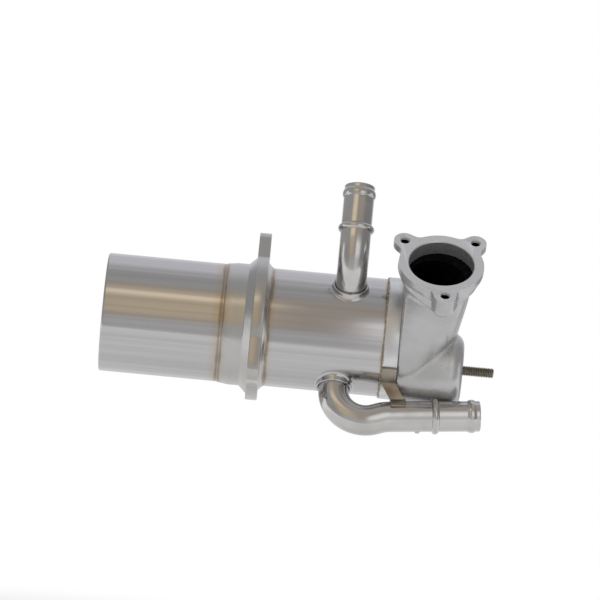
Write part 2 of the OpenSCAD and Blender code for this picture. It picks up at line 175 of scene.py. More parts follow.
def drawn_neck(name, x, angle, steps=96):
    """Neck drawn out of the shell's wall: a fillet off the tube, a short wall and a rounded lip."""
    out, round_it = out_from_axis(angle)
    turn = np.linspace(0, math.tau, steps, endpoint=False)
    outer = pipe_r + pipe_gap + neck_wall
    top = shell_r + neck_height
    profile = [(outer + neck_fillet, -neck_sink, None)]
    for k in range(9):
        a = math.radians(90 * k / 8)
        profile.append((outer + neck_fillet * (1 - math.sin(a)), neck_fillet * (1 - math.cos(a)), None))
    for k in range(7):
        a = math.radians(90 * k / 6)
        profile.append((outer - neck_edge * (1 - math.cos(a)), None, top - neck_edge * (1 - math.sin(a))))
    profile.append((pipe_r + pipe_gap, None, top - neck_edge))
    profile.append((pipe_r + pipe_gap, -neck_sink, None))
    rows = []
    for radius, lift, height in profile:
        across = radius * np.sin(turn)
        level = np.sqrt(shell_r ** 2 - across ** 2) + lift if height is None else np.full(steps, height)
        point = level[:, None] * out + across[:, None] * round_it
        point[:, 0] += x + radius * np.cos(turn)
        rows.append(point)
    return skin(name, rows, crease=60)


shell = joined("shell_tube", [
    turned("tube", soft_corners([
        (shell_low.x, shell_r - shell_wall, 0.2), (shell_low.x, shell_r, rim_round),
        (shell_high.x, shell_r, 0.1), (shell_high.x, shell_r - shell_wall, 0.1)])),
    drawn_neck("neck_a", upper_x, upper_angle),
    drawn_neck("neck_b", lower_x, lower_angle)])


def group(name, inputs, outputs):
    """Empty shader node group with its input and output nodes."""
    tree = bpy.data.node_groups.new(name, "ShaderNodeTree")
    for label, kind, value in inputs:
        socket = tree.interface.new_socket(label, in_out="INPUT", socket_type=kind)
        if value is not None:
            socket.default_value = value
    for label, kind in outputs:
        tree.interface.new_socket(label, in_out="OUTPUT", socket_type=kind)
    return tree, tree.nodes.new("NodeGroupInput"), tree.nodes.new("NodeGroupOutput")


def node(tree, kind, inputs=None, **settings):
    """New node with its settings, whose inputs are values or other nodes' sockets."""
    made = tree.nodes.new(kind)
    for key, value in settings.items():
        setattr(made, key, value)
    for key, value in (inputs or {}).items():
        if isinstance(value, bpy.types.NodeSocket):
            tree.links.new(value, made.inputs[key])
        else:
            made.inputs[key].default_value = value
    return made


def maths(tree, operation, *values):
    return node(tree, "ShaderNodeMath", dict(enumerate(values)), operation=operation).outputs[0]


def between(tree, value, low, high, to_low=0.0, to_high=1.0):
    """Smooth step of a value from one range to another."""
    made = node(tree, "ShaderNodeMapRange", {0: value, 1: low, 2: high, 3: to_low, 4: to_high},
                interpolation_type="SMOOTHSTEP")
    return made.outputs[0]


def blend(tree, factor, first, second):
    """Mix of two colours."""
    made = node(tree, "ShaderNodeMix", {0: factor, 6: first, 7: second}, data_type="RGBA")
    return made.outputs[2]


def noise(tree, place, scale, detail):
    made = node(tree, "ShaderNodeTexNoise", {"Vector": place, "Scale": scale, "Detail": detail})
    return made.outputs["Fac"]


def mottled(tree, pattern, low, high, first, second):
    """Colour that goes from the first to the second where a pattern rises through a range."""
    return blend(tree, between(tree, pattern, low, high), first, second)


# Brushed grain: long fine scratches along X on a surface that is round about the shell's axis.
grain, grain_in, grain_out = group(
    "brushed grain",
    [("Place", "NodeSocketVector", None), ("Along", "NodeSocketFloat", 6.0),
     ("Across", "NodeSocketFloat", 900.0)],
    [("Scratch", "NodeSocketFloat"), ("Streak", "NodeSocketFloat")])
grain_at = node(grain, "ShaderNodeSeparateXYZ", {0: grain_in.outputs["Place"]}).outputs
grain_turn = maths(grain, "ARCTAN2", grain_at["Z"], grain_at["Y"])
grain_reach = maths(grain, "MULTIPLY", grain_turn, shell_r * MM)
grain_where = node(grain, "ShaderNodeCombineXYZ", {
    "X": maths(grain, "MULTIPLY", grain_at["X"], grain_in.outputs["Along"]),
    "Y": maths(grain, "MULTIPLY", grain_reach, grain_in.outputs["Across"])}).outputs[0]
grain_fine = noise(grain, grain_where, 4.0, 4.0)
grain_wide = noise(grain, grain_where, 0.35, 2.0)
grain.links.new(grain_fine, grain_out.inputs["Scratch"])
grain.links.new(grain_wide, grain_out.inputs["Streak"])

# Heat tint: the straw and brown film that brazing leaves on stainless steel beside a joint.
tint, tint_in, tint_out = group(
    "heat tint",
    [("Colour", "NodeSocketColor", (0.5, 0.5, 0.5, 1)), ("Place", "NodeSocketVector", None),
     ("Distance", "NodeSocketFloat", 0.0), ("Straw", "NodeSocketFloat", 0.012),
     ("Brown", "NodeSocketFloat", 0.003)],
    [("Colour", "NodeSocketColor")])
tint_push = maths(tint, "MULTIPLY_ADD", noise(tint, tint_in.outputs["Place"], 70.0, 3.0), 0.003, -0.0015)
tint_far = maths(tint, "ADD", maths(tint, "ABSOLUTE", tint_in.outputs["Distance"]), tint_push)
tint_straw = between(tint, tint_far, 0.0, tint_in.outputs["Straw"], 0.45, 0.0)
tint_brown = between(tint, tint_far, 0.0, tint_in.outputs["Brown"], 0.6, 0.0)
tint_first = blend(tint, tint_straw, tint_in.outputs["Colour"], (0.50, 0.40, 0.27, 1))
tint.links.new(blend(tint, tint_brown, tint_first, (0.17, 0.125, 0.09, 1)), tint_out.inputs["Colour"])


def metal(name, colour, roughness):
    """Material with a metallic Principled shader, its tree and its place on the piece."""
    made = bpy.data.materials.new(name)
    made.use_nodes = True
    tree = made.node_tree
    shader = tree.nodes["Principled BSDF"]
    shader.inputs["Metallic"].default_value = 1.0
    shader.inputs["Base Color"].default_value = colour
    shader.inputs["Roughness"].default_value = roughness
    place = node(tree, "ShaderNodeTexCoord").outputs["Object"]
    return made, tree, shader, place


def grouped(tree, shared, **inputs):
    """Shared effect placed in a material with its own values."""
    return node(tree, "ShaderNodeGroup", inputs, node_tree=shared).outputs


def tinted(tree, colour, place, axis, joints):
    """Colour with heat tint beside joints: each has a place on the axis and the reach of straw and brown."""
    along = node(tree, "ShaderNodeSeparateXYZ", {0: place}).outputs[axis]
    for joint, straw, brown in joints:
        colour = grouped(tree, tint, Colour=colour, Place=place, Straw=straw * MM, Brown=brown * MM,
                         Distance=maths(tree, "SUBTRACT", along, joint * MM))["Colour"]
    return colour


def dressed(tree, shader, colour, roughness=None):
    tree.links.new(colour, shader.inputs["Base Color"])
    if roughness is not None:
        tree.links.new(roughness, shader.inputs["Roughness"])


def bumped(tree, shader, height, depth, strength=0.5):
    made = node(tree, "ShaderNodeBump", {"Height": height, "Distance": depth, "Strength": strength})
    tree.links.new(made.outputs["Normal"], shader.inputs["Normal"])


shell_grey = (0.57, 0.56, 0.565, 1)
shell_dull = (0.50, 0.49, 0.495, 1)
shell_joints = ((-18.5, 7.0, 1.6), (10.4, 4.0, 1.2), (78.0, 2.0, 0.6))
shell_steel, tree, shader, place = metal("shell_steel", shell_grey, 0.15)
scratch = grouped(tree, grain, Place=place)
worn = mottled(tree, scratch["Streak"], 0.35, 0.7, shell_grey, shell_dull)
worn = tinted(tree, worn, place, "X", shell_joints)
dressed(tree, shader, worn, between(tree, scratch["Streak"], 0.3, 0.75, 0.12, 0.20))
bumped(tree, shader, scratch["Scratch"], 0.012 * MM, 0.3)
shell.data.materials.append(shell_steel)
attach(shell, "root")
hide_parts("shell")


# Mounting flange: a steel plate with three bolt ears, pressed and brazed over the shell.
# A hub sleeve with a tapered brazing nose stands on its sealing side, a fillet on the other.
plate_t = 7.0
plate_r = 44.0
bolt_at = 46.0
bolt_hole_r, bolt_edge = 4.25, 0.5
plate_play = 0.4
ear_r = 9.25
ear_flank = math.radians(40)
ear_blend = 3.0
plate_edge = 0.5
hub_r = shell_r + 1.15
hub_length, hub_cone, hub_cone_rise, nose_length = 6.6, 4.5, 4.3, 6.3
fillet_length, fillet_rise = 2.9, 2.4


def extruded(name, outline, low, high):
    """Solid between two places along X from an outline of (Y, Z) points in mm."""
    count = len(outline)
    points = [(x, y, z) for x in (low, high) for y, z in outline]
    faces = [list(range(count)), list(range(count, 2 * count))]
    faces += [[i, (i + 1) % count, count + (i + 1) % count, count + i] for i in range(count)]
    return solid(name, points, faces)


def applied(piece, kind, crease=35, **settings):
    """Adds a modifier to a piece and makes its result the piece's own mesh."""
    modifier = piece.modifiers.new(kind, kind)
    for key, value in settings.items():
        setattr(modifier, key, value)
    done = bpy.data.meshes.new_from_object(piece.evaluated_get(bpy.context.evaluated_depsgraph_get()))
    piece.modifiers.remove(modifier)
    piece.data = done
    piece.data.shade_smooth()
    piece.data.set_sharp_from_angle(angle=math.radians(crease))
    return piece


def cut(piece, cutter, crease=35):
    """Takes a cutter out of a piece and removes the cutter."""
    applied(piece, "BOOLEAN", crease, object=cutter, operation="DIFFERENCE", solver="EXACT",
            material_mode="TRANSFER")
    bpy.data.objects.remove(cutter)
    return piece


def flange_outline():
    """Disc with three ears whose straight flanks run into it with a small blend."""
    flank = Vector((ear_r * math.cos(ear_flank), bolt_at + ear_r * math.sin(ear_flank)))
    slope = Vector((math.sin(ear_flank), -math.cos(ear_flank)))
    half = flank.dot(slope)
    foot = flank + slope * (-half - math.sqrt(half ** 2 - flank.length_squared + plate_r ** 2))
    foot_angle = math.atan2(foot.x, foot.y)
    corners = []
    for ear in range(3):
        turn = math.tau / 3 * ear
        one = [(-foot.x, foot.y, ear_blend)]
        for k in range(17):
            a = math.pi - ear_flank - (math.pi - 2 * ear_flank) * k / 16
            one.append((ear_r * math.cos(a), bolt_at + ear_r * math.sin(a), 0))
        one.append((foot.x, foot.y, ear_blend))
        for k in range(1, 20):
            a = foot_angle + (math.tau / 3 - 2 * foot_angle) * k / 20
            one.append((plate_r * math.sin(a), plate_r * math.cos(a), 0))
        for a, b, radius in one:
            corners.append((a * math.cos(turn) + b * math.sin(turn),
                            b * math.cos(turn) - a * math.sin(turn), radius))
    return [tuple(p) for p in soft_corners(corners, 4)]


def capped(name, ends, rings):
    """Solid over rings of points in mm, closed to a point at each end."""
    steps = len(rings[0])
    last = 2 + (len(rings) - 1) * steps
    faces = []
    for row in range(2, last, steps):
        for k in range(steps):
            a, b = row + k, row + (k + 1) % steps
            faces.append([a, b, b + steps, a + steps])
    for k in range(steps):
        faces.append([0, 2 + (k + 1) % steps, 2 + k])
        faces.append([1, last + k, last + (k + 1) % steps])
    return solid(name, np.concatenate([ends, *rings]), faces)


def drill(name, radius, low, high, y, z, edge, steps=48):
    """Cutter for a hole along X with a chamfer at both faces of a plate."""
    turn = np.linspace(0, math.tau, steps, endpoint=False)
    wide = radius + 2 * edge
    outline = [(low - edge, wide), (low + edge, radius), (high - edge, radius), (high + edge, wide)]
    rings = [np.stack([np.full(steps, x), y + r * np.cos(turn), z + r * np.sin(turn)], axis=-1)
             for x, r in outline]
    return capped(name, [(low - edge, y, z), (high + edge, y, z)], rings)


plate = extruded("plate", flange_outline(), 0.0, plate_t)
applied(plate, "BEVEL", width=plate_edge * MM, segments=3, limit_method="ANGLE",
        angle_limit=math.radians(60))
for ear in range(3):
    turn = math.tau / 3 * ear
    bolt_y, bolt_z = bolt_at * math.sin(turn), bolt_at * math.cos(turn)
    cut(plate, drill("bolt_hole", bolt_hole_r, 0.0, plate_t, bolt_y, bolt_z, bolt_edge))
cut(plate, drill("plate_bore", shell_r + plate_play, 0.0, plate_t, 0.0, 0.0, 0.1))
hub_x = -hub_cone - hub_length
hub = turned("hub", soft_corners([
    (hub_x - nose_length, shell_r + pipe_gap, 0), (hub_x - nose_length, shell_r + 0.25, 0.1),
    (hub_x, hub_r, 1.5), (-hub_cone, hub_r, 1.2), (0.0, hub_r + hub_cone_rise, 0.8),
    (plate_t * 0.5, hub_r + hub_cone_rise, 0), (plate_t, shell_r + fillet_rise + 0.6, 0),
    (plate_t + 0.6 * fillet_length, shell_r + 0.45 * fillet_rise, 2.0),
    (plate_t + fillet_length, shell_r + 0.25, 0.1), (plate_t + fillet_length, shell_r + pipe_gap, 0)]))
flange = joined("flange_plate", [plate, hub], 35)

flange_grey = (0.53, 0.525, 0.52, 1)
flange_dull = (0.51, 0.495, 0.47, 1)
flange_joints = ((-17.0, 4.0, 1.4), (9.8, 2.2, 1.0))
flange_steel, tree, shader, place = metal("flange_steel", flange_grey, 0.21)
mill = noise(tree, place, 260.0, 5.0)
patch = noise(tree, place, 38.0, 3.0)
tone = mottled(tree, patch, 0.4, 0.68, flange_grey, flange_dull)
tone = tinted(tree, tone, place, "X", flange_joints)
dressed(tree, shader, tone, between(tree, mill, 0.3, 0.7, 0.17, 0.26))
bumped(tree, shader, mill, 0.03 * MM, 0.4)
flange.data.materials.append(flange_steel)
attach(flange, "root")
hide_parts("mounting_flange")


# Tube sheets: the inlet sheet is a stainless cup that is brazed inside the shell's open end.
# The outlet sheet has a ring round the other end, which carries the elbow and is welded to it.
# Both are drilled for the nineteen gas tubes, which lie in a hexagon.
tube_pitch = 12.0
tube_r, tube_wall = 4.75, 0.6
tube_from, tube_to = -78.6, 86.6
inlet_sheet_x, outlet_sheet_x, sheet_t = -78.0, 84.0, 2.0
skirt_x, skirt_r, skirt_wall = -86.8, 33.45, 1.5
ring_from, ring_to, ring_r, ring_lip = 78.5, 87.6, 36.15, 3.1
tube_places = [(tube_pitch * (i + j / 2), tube_pitch * j * math.sin(math.pi / 3))
               for j in range(-2, 3) for i in range(-2, 3) if abs(i + j) <= 2]


def tube_sheet(name, x, radius):
    """Round plate drilled for the gas tubes."""
    turn = np.linspace(0, math.tau, 128, endpoint=False)
    rim = [(radius * math.cos(a), radius * math.sin(a)) for a in turn]
    sheet = extruded(name, rim, x, x + sheet_t)
    drills = [drill("tube_hole", tube_r + 0.05, x, x + sheet_t, y, z, 0.15) for y, z in tube_places]
    return cut(sheet, joined("tube_holes", drills))


inlet_header = joined("inlet_sheet", [
    tube_sheet("sheet", inlet_sheet_x, skirt_r - 0.8),
    turned("skirt", soft_corners([
        (skirt_x, skirt_r - skirt_wall, 0.4), (skirt_x, skirt_r, 0.4),
        (inlet_sheet_x + sheet_t, skirt_r, 0.8),
        (inlet_sheet_x + sheet_t, skirt_r - 1.4, 0), (inlet_sheet_x, skirt_r - skirt_wall - 0.6, 0),
        (inlet_sheet_x - 0.6, skirt_r - skirt_wall, 0.4)]))], 35)
ring_socket = shell_r + pipe_gap
outlet_header = joined("outlet_ring", [
    tube_sheet("sheet", outlet_sheet_x, ring_r - ring_lip + 0.5),
    turned("ring", soft_corners([
        (ring_from, ring_socket, 0), (ring_from, ring_r, 0.45), (ring_to, ring_r, 0.5),
        (ring_to, ring_r - ring_lip, 0.2), (outlet_sheet_x + sheet_t, ring_r - ring_lip, 0),
        (outlet_sheet_x, ring_r - ring_lip, 0), (outlet_sheet_x, ring_socket, 0)]))], 35)

header_grey = (0.70, 0.705, 0.715, 1)
header_dull = (0.64, 0.64, 0.645, 1)
header_steel, tree, shader, place = metal("header_steel", header_grey, 0.34)
dull = noise(tree, place, 120.0, 4.0)
tone = mottled(tree, dull, 0.4, 0.7, header_grey, header_dull)
tone = tinted(tree, tone, place, "X", ((ring_from, 0.9, 0.4),))
dressed(tree, shader, tone, between(tree, dull, 0.3, 0.7, 0.28, 0.42))
bumped(tree, shader, dull, 0.04 * MM, 0.4)
for piece, name in ((inlet_header, "inlet_header"), (outlet_header, "outlet_header")):
    piece.data.materials.append(header_steel)
    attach(piece, "root")
    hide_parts(name)


# Ring weld: the bright rippled bead that joins the outlet ring to the shell.
# The torch leaves small overlapping beads of uneven size, a little out of line.
def node_tree(name, inputs):
    """Empty geometry node tree with named inputs, and its input and output nodes."""
    made = bpy.data.node_groups.new(name, "GeometryNodeTree")
    made.interface.new_socket("Geometry", in_out="INPUT", socket_type="NodeSocketGeometry")
    for label, kind in inputs:
        made.interface.new_socket(label, in_out="INPUT", socket_type=kind)
    made.interface.new_socket("Geometry", in_out="OUTPUT", socket_type="NodeSocketGeometry")
    return made, made.nodes.new("NodeGroupInput").outputs, made.nodes.new("NodeGroupOutput")


def grown(name, points, tree, values, crease=40):
    """Piece that a geometry node tree grows on points in mm, made a plain mesh."""
    mesh = bpy.data.meshes.new(name)
    mesh.from_pydata([tuple(c * MM for c in point) for point in points], [], [])
    piece = new_object(name, mesh)
    modifier = piece.modifiers.new("grow", "NODES")
    modifier.node_group = tree
    for item in tree.interface.items_tree:
        if item.in_out == "INPUT" and item.name in values:
            modifier[item.identifier] = values[item.name]
    done = bpy.data.meshes.new_from_object(piece.evaluated_get(bpy.context.evaluated_depsgraph_get()))
    piece.modifiers.remove(modifier)
    piece.data = done
    done.materials.clear()
    done.materials.append(values["Finish"])
    return smooth(piece, crease)


def placed(tree, group_in, group_out, form, **inputs):
    """Ends a tree: the form on every point, made real and given its finish."""
    laid = node(tree, "GeometryNodeInstanceOnPoints", {
        "Points": group_in["Geometry"], "Instance": form.outputs["Mesh"], **inputs})
    real = node(tree, "GeometryNodeRealizeInstances", {"Geometry": laid.outputs[0]})
    done = node(tree, "GeometryNodeSetMaterial", {
        "Geometry": real.outputs[0], "Material": group_in["Finish"]})
    tree.links.new(done.outputs[0], group_out.inputs[0])


weld_tree, weld_in, weld_out = node_tree("weld beads", [
    ("Size", "NodeSocketFloat"), ("Unevenness", "NodeSocketFloat"), ("Finish", "NodeSocketMaterial")])
weld_ball = node(weld_tree, "GeometryNodeMeshIcoSphere", {"Radius": weld_in["Size"], "Subdivisions": 2})
weld_size = node(weld_tree, "FunctionNodeRandomValue", {
    "Min": (0.55, 0.8, 0.8), "Max": (1.1, 1.5, 1.5), "Seed": 11}, data_type="FLOAT_VECTOR").outputs["Value"]
weld_shift = node(weld_tree, "FunctionNodeRandomValue", {
    "Min": (-1.0, -1.0, -1.0), "Max": (1.0, 1.0, 1.0), "Seed": 5}, data_type="FLOAT_VECTOR").outputs["Value"]
weld_move = node(weld_tree, "ShaderNodeVectorMath", {
    0: weld_shift, "Scale": weld_in["Unevenness"]}, operation="SCALE").outputs[0]
weld_points = node(weld_tree, "GeometryNodeSetPosition", {
    "Geometry": weld_in["Geometry"], "Offset": weld_move})
placed(weld_tree, weld_in, weld_out, weld_ball, Points=weld_points.outputs[0], Scale=weld_size)

weld_steel, tree, shader, place = metal("weld_steel", (0.62, 0.60, 0.57, 1), 0.26)
speck = noise(tree, place, 700.0, 3.0)
dressed(tree, shader, mottled(tree, speck, 0.45, 0.65, (0.62, 0.61, 0.60, 1), (0.22, 0.20, 0.18, 1)))
bumped(tree, shader, speck, 0.05 * MM)
weld_size_mm = 0.44
weld_ring_r = shell_r + 0.35
weld_points_mm = [(ring_from - 0.1, -weld_ring_r * math.cos(a), weld_ring_r * math.sin(a))
                  for a in np.linspace(0, math.tau, 280, endpoint=False)]
ring_weld = grown("ring_weld", weld_points_mm, weld_tree, {
    "Size": weld_size_mm * MM, "Unevenness": 0.14 * MM, "Finish": weld_steel})
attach(ring_weld, "root")


# Gas tubes: nineteen thin stainless tubes that carry the exhaust through the coolant.
# Each is brazed into both tube sheets with a small collar of braze round it.
tube_tree, tube_in, tube_out = node_tree("gas tubes", [
    ("Radius", "NodeSocketFloat"), ("Wall", "NodeSocketFloat"), ("Length", "NodeSocketFloat"),
    ("Finish", "NodeSocketMaterial")])
tube_half = maths(tube_tree, "MULTIPLY", tube_in["Wall"], 0.5)
tube_middle = maths(tube_tree, "SUBTRACT", tube_in["Radius"], tube_half)
tube_path = node(tube_tree, "GeometryNodeCurvePrimitiveCircle", {"Resolution": 40, "Radius": tube_middle})
tube_section = node(tube_tree, "GeometryNodeCurvePrimitiveQuadrilateral", {
    "Width": tube_in["Wall"], "Height": tube_in["Length"]})
tube_body = node(tube_tree, "GeometryNodeCurveToMesh", {
    "Curve": tube_path.outputs["Curve"], "Profile Curve": tube_section.outputs[0]})
along_shell = (0.0, math.pi / 2, 0.0)
placed(tube_tree, tube_in, tube_out, tube_body, Rotation=along_shell)

tube_steel, tree, shader, place = metal("tube_steel", (0.52, 0.50, 0.47, 1), 0.30)
film = noise(tree, place, 150.0, 4.0)
dressed(tree, shader, mottled(tree, film, 0.4, 0.68, (0.54, 0.52, 0.49, 1), (0.38, 0.32, 0.25, 1)),
        between(tree, film, 0.3, 0.7, 0.25, 0.42))
gas_tubes = grown("gas_tubes", [((tube_from + tube_to) / 2, y, z) for y, z in tube_places], tube_tree, {
    "Radius": tube_r * MM, "Wall": tube_wall * MM, "Length": (tube_to - tube_from) * MM,
    "Finish": tube_steel})
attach(gas_tubes, "root")
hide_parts(*["gas_tube_%02d" % (i + 1) for i in range(len(tube_places))])


# Braze collars: the fillets that the melted braze leaves round each tube on the open sheet.
# They are drawn in by the gap between tube and sheet, so they are thin and even.
collar_tree, collar_in, collar_out = node_tree("braze collars", [
    ("Radius", "NodeSocketFloat"), ("Fillet", "NodeSocketFloat"), ("Finish", "NodeSocketMaterial")])
collar_path = node(collar_tree, "GeometryNodeCurvePrimitiveCircle", {
    "Resolution": 40, "Radius": collar_in["Radius"]})
collar_section = node(collar_tree, "GeometryNodeCurvePrimitiveCircle", {
    "Resolution": 8, "Radius": collar_in["Fillet"]})
collar_body = node(collar_tree, "GeometryNodeCurveToMesh", {
    "Curve": collar_path.outputs["Curve"], "Profile Curve": collar_section.outputs["Curve"]})
placed(collar_tree, collar_in, collar_out, collar_body, Rotation=along_shell)

braze_metal, tree, shader, place = metal("braze_metal", (0.58, 0.52, 0.43, 1), 0.30)
flow = noise(tree, place, 420.0, 3.0)
dressed(tree, shader, mottled(tree, flow, 0.4, 0.65, (0.60, 0.55, 0.46, 1), (0.42, 0.36, 0.28, 1)))
braze_collars = grown("braze_collars", [(inlet_sheet_x, y, z) for y, z in tube_places], collar_tree, {
    "Radius": (tube_r + 0.1) * MM, "Fillet": 0.3 * MM, "Finish": braze_metal}, 60)
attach(braze_collars, "root")


# Baffles: three stamped stainless discs, each with one side cut away, that turn the coolant.
# They are threaded on the tubes inside the shell, so the plain solids are kept.
baffle_steel, tree, shader, place = metal("baffle_steel", (0.55, 0.54, 0.53, 1), 0.33)
stamp = noise(tree, place, 200.0, 4.0)
dressed(tree, shader, mottled(tree, stamp, 0.4, 0.7, (0.56, 0.55, 0.54, 1), (0.44, 0.41, 0.37, 1)))
for name in ("baffle_01", "baffle_02", "baffle_03"):
    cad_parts[name].data.materials.clear()
    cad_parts[name].data.materials.append(baffle_steel)


# Upper coolant nipple: a bent steel tube, nickel plated, that is brazed into the shell's neck.
# A rolled stop bead and an end bead hold the hose on it.
pipe_wall = 1.25
pip_height, pip_flank = 0.62, 0.55
pipe_start = shell_r - shell_wall
stop_bead = (26.5, 1.65, 4.0)
end_bead = (5.0, 0.85, 5.0)
upper_route = [(6.5, 28.0, 55.0), (31.5, 0.0, 0.0)]


def pipe_path(route, step=0.3, bend_step=1.5):
    """Places along a flat route of (straight, bend radius, bend angle): out, aside, turn, length."""
    out, aside, turn, gone = 0.0, 0.0, 0.0, 0.0
    places = []
    for straight, bend_r, bend in route:
        pieces = max(2, int(straight / step))
        for k in range(pieces):
            reach = straight * k / pieces
            places.append((out + reach * math.cos(turn), aside + reach * math.sin(turn), turn, gone + reach))
        out += straight * math.cos(turn)
        aside += straight * math.sin(turn)
        gone += straight
        if bend_r == 0:
            places.append((out, aside, turn, gone))
            continue
        sign = math.copysign(1.0, bend)
        pieces = int(abs(bend) / bend_step)
        begin, swing = turn, math.radians(bend)
        for k in range(pieces):
            a = begin + swing * k / pieces
            places.append((out + sign * bend_r * (math.sin(a) - math.sin(begin)),
                           aside - sign * bend_r * (math.cos(a) - math.cos(begin)), a,
                           gone + bend_r * abs(a - begin)))
        turn = begin + swing
        out += sign * bend_r * (math.sin(turn) - math.sin(begin))
        aside -= sign * bend_r * (math.cos(turn) - math.cos(begin))
        gone += bend_r * abs(swing)
    return places


def crown(back, bead):
    """Height of a rolled bead at a distance back from the pipe's end."""
    at, height, width = bead
    crown_r = (width ** 2 / 4 + height ** 2) / (2 * height)
    off = abs(back - at)
    bare = math.sqrt(max(crown_r ** 2 - off ** 2, 0.0)) - (crown_r - height) if off < width / 2 else 0.0
    return max(bare, 0.0)


def bent_pipe(name, x, angle, route, bend_to_x, beads, pip=None, steps=120):
    """Pipe swept along its route from the shell's bore, with beads rolled near its open end."""
    out, round_it = out_from_axis(angle)
    aside = np.array((1.0, 0.0, 0.0)) if bend_to_x else round_it
    across = np.cross(out, aside)
    places = pipe_path(route)
    total = places[-1][3]
    turn = np.linspace(0, math.tau, steps, endpoint=False)
    tip_round = 0.5 * pipe_wall

    def ring(place, radius):
        reach, shift, bend, _ = place
        centre = np.array((x, 0.0, 0.0)) + (pipe_start + reach) * out + shift * aside
        side = -math.sin(bend) * out + math.cos(bend) * aside
        return centre + np.outer(radius * np.cos(turn), side) + np.outer(radius * np.sin(turn), across)

    def swell(place):
        back = total - place[3]
        lift = sum(crown(back, bead) for bead in beads)
        radius = np.full(steps, pipe_r + lift)
        if pip is not None:
            pip_back, pip_turn, pip_r = pip
            round_off = (turn - pip_turn + math.pi) % math.tau - math.pi
            off = np.sqrt((back - pip_back) ** 2 + (pipe_r * round_off) ** 2)
            rise = np.clip((pip_r - off) / (pip_flank * pip_r), 0.0, 1.0)
            radius = radius + pip_height * pip_r * rise ** 0.6
        return radius

    rows = [ring(place, swell(place)) for place in places if total - place[3] > tip_round]
    end = places[-1]
    for k in range(9):
        a = math.pi * k / 8
        back = tip_round * (1 - math.sin(a))
        place = (end[0] - back * math.cos(end[2]), end[1] - back * math.sin(end[2]), end[2], 0)
        rows.append(ring(place, np.full(steps, pipe_r - tip_round * (1 - math.cos(a)))))
    for place in reversed(places[::6]):
        rows.append(ring(place, np.full(steps, pipe_r - pipe_wall)))
    return skin(name, rows)


upper_nipple = bent_pipe("upper_coolant_nipple", upper_x, upper_angle, upper_route, False,
                         (stop_bead, end_bead))

nickel = (0.60, 0.594, 0.585, 1)
pipe_steel, tree, shader, place = metal("pipe_steel", nickel, 0.2)
cloud = noise(tree, place, 60.0, 4.0)
fine = noise(tree, place, 900.0, 3.0)
dressed(tree, shader, mottled(tree, cloud, 0.42, 0.7, nickel, (0.545, 0.53, 0.51, 1)),
        between(tree, cloud, 0.3, 0.7, 0.11, 0.19))
ripple = noise(tree, place, 75.0, 1.0)
drawn = maths(tree, "MULTIPLY_ADD", ripple, 12.0, fine)
bumped(tree, shader, drawn, 0.012 * MM, 0.5)
upper_nipple.data.materials.append(pipe_steel)
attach(upper_nipple, "root")
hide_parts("upper_nipple")


# Lower coolant pipe: the same plated tube, bent back along the shell and under the elbow.
# A pressed pip on its underside shows how far the hose goes on.
lower_run = 53.0
first_bend, second_bend = 112.0, -15.5
lower_route = [(4.8, 18.5, first_bend), (3.0, 24.0, second_bend), (lower_run, 0.0, 0.0)]
ahead = np.array((1.0, 0.0, 0.0))
lower_out = out_from_axis(lower_angle)[0]
lower_across = np.cross(lower_out, ahead)
lower_bend = math.radians(first_bend + second_bend)
lower_side = -math.sin(lower_bend) * lower_out + math.cos(lower_bend) * ahead
pip_turn = math.atan2(-lower_across[2], -lower_side[2])
lower_pipe = bent_pipe("lower_coolant_pipe", lower_x, lower_angle, lower_route, True,
                       (stop_bead, end_bead), (37.0, pip_turn, 1.6))
lower_pipe.data.materials.append(pipe_steel)
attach(lower_pipe, "root")
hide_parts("lower_pipe")


# Pipe bracket: a strip of sheet steel, folded to lie on the ring and on the pipe past its bends.
# It is brazed at both ends, and the heat has left its web brown.
bracket_t, bracket_w, bracket_gap, strap_edge = 1.5, 9.0, 0.1, 0.25
tab_from, tab_to = -28.0, -46.0
saddle_angle, saddle_half = 78.0, 38.0
lower_places = pipe_path(lower_route)
run_place = next(p for p in lower_places if abs(p[3] - (lower_places[-1][3] - lower_run)) < 1e-6)
run_start = (lower_x + run_place[1]) * ahead + (pipe_start + run_place[0]) * lower_out
run_axis = math.cos(lower_bend) * lower_out + math.sin(lower_bend) * ahead


def strap(name, lines):
    """Bevelled solid over pairs of lines: each entry is one section of four corners in mm."""
    work = bmesh.new()
    rings = [[work.verts.new(tuple(c * MM for c in corner)) for corner in section] for section in lines]
    for first, second in zip(rings, rings[1:]):
        for k in range(4):
            work.faces.new((first[k], first[(k + 1) % 4], second[(k + 1) % 4], second[k]))
    work.faces.new(rings[0])
    work.faces.new(rings[-1])
    mesh = bpy.data.meshes.new(name)
    work.to_mesh(mesh)
    work.free()
    piece = smooth(new_object(name, mesh))
    return applied(piece, "BEVEL", width=strap_edge * MM, segments=2, limit_method="ANGLE",
                   angle_limit=math.radians(50))


def section(low, high, inner, place):
    """Four corners of the strap's section: its two edges, and its inner and outer side."""
    outer = inner + bracket_t
    return [place(s, r) for s, r in ((low, inner), (high, inner), (high, outer), (low, outer))]


